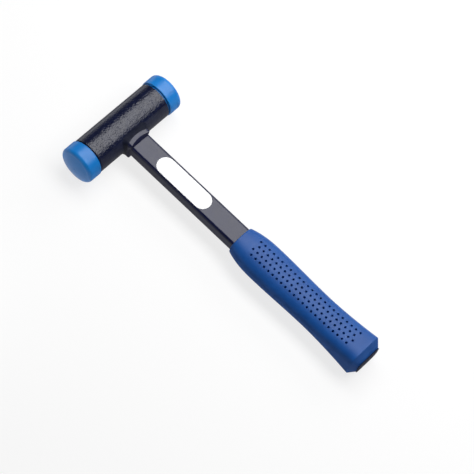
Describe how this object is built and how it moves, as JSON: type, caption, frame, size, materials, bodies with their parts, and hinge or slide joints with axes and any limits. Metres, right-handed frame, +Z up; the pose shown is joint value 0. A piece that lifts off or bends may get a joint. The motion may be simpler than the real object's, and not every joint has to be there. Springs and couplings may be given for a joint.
{
  "type": "soft face hammer",
  "caption": "Soft face hammer: steel tube head with domed plastic faces, loose shot inside, flattened steel tube handle and a dimpled plastic grip.",
  "frame": {"origin": "bottom centre of the hammer's box as it lies on its side; the head axis is 15.6 mm above it", "axes": "+X along the head towards its rear face, +Y from the butt of the handle to the head, +Z up, square to the broad side of the handle"},
  "size_m": [0.1026, 0.2732, 0.0312],
  "materials": {
    "black_paint": "black paint over steel, textured on the head",
    "face_plastic": "light blue, satin",
    "grip_plastic": "dark blue soft plastic, satin, dimpled",
    "plug_plastic": "dark, satin",
    "bare_steel": "bare"
  },
  "bodies": {
    "hammer": {"head_tube": "black_paint", "front_face": "face_plastic", "rear_face": "face_plastic", "front_shot_disc": "bare_steel", "rear_shot_disc": "bare_steel", "handle_socket": "black_paint", "socket_weld": "black_paint", "handle_tube": "black_paint", "grip": "grip_plastic", "end_plug": "plug_plastic"},
    "shot": {"shot_charge": "bare_steel"}
  },
  "joints": [
    {"name": "shot_slide", "type": "slide", "parent": "hammer", "child": "shot", "axis": [-1, 0, 0], "range_m": [0, 0.0125]}
  ]
}
